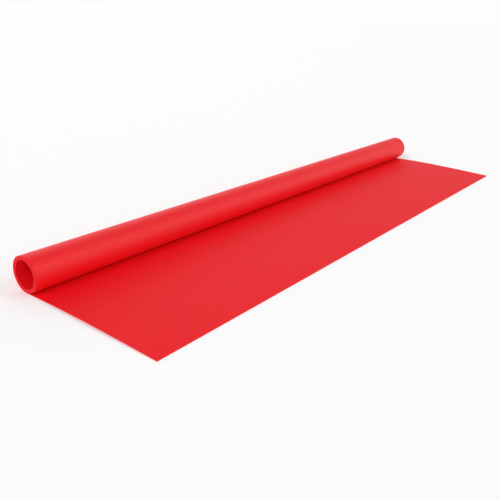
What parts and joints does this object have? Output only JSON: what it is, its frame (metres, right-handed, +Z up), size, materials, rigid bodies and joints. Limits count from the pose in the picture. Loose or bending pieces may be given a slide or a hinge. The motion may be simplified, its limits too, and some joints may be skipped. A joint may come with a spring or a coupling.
{
  "type": "backdrop paper roll",
  "caption": "Coreless roll of red seamless backdrop paper, open through the middle, with its free end drawn out in front as a flat sheet cut square.",
  "frame": {"origin": "centre of the roll: on its axis, half way along it", "axes": "+X along the roll, +Z up, the sheet towards -Y, so the floor is one roll radius below the origin"},
  "size_m": [1.35, 0.3365, 0.065],
  "materials": {
    "red_paper": "smooth matte, dyed through"
  },
  "bodies": {
    "roll_shell": {"outer_turns": "red_paper"},
    "sheet": {"unrolled_sheet": "red_paper"},
    "wound_roll": {"wound_turns": "red_paper", "inner_turns": "red_paper"}
  },
  "joints": [
    {"name": "sheet_pull", "type": "slide", "parent": "roll_shell", "child": "sheet", "axis": [0, -1, 0], "range_m": [-0.15, 0.15], "deforming": ["unrolled_sheet"]},
    {"name": "roll_spin", "type": "hinge", "parent": "roll_shell", "child": "wound_roll", "pos_m": [0, 0, 0], "axis": [-1, 0, 0], "range_deg": [-265.5, 265.5]}
  ],
  "couplings": [
    {"joint": "roll_spin", "follows": "sheet_pull", "rad_per_m": 30.86}
  ]
}
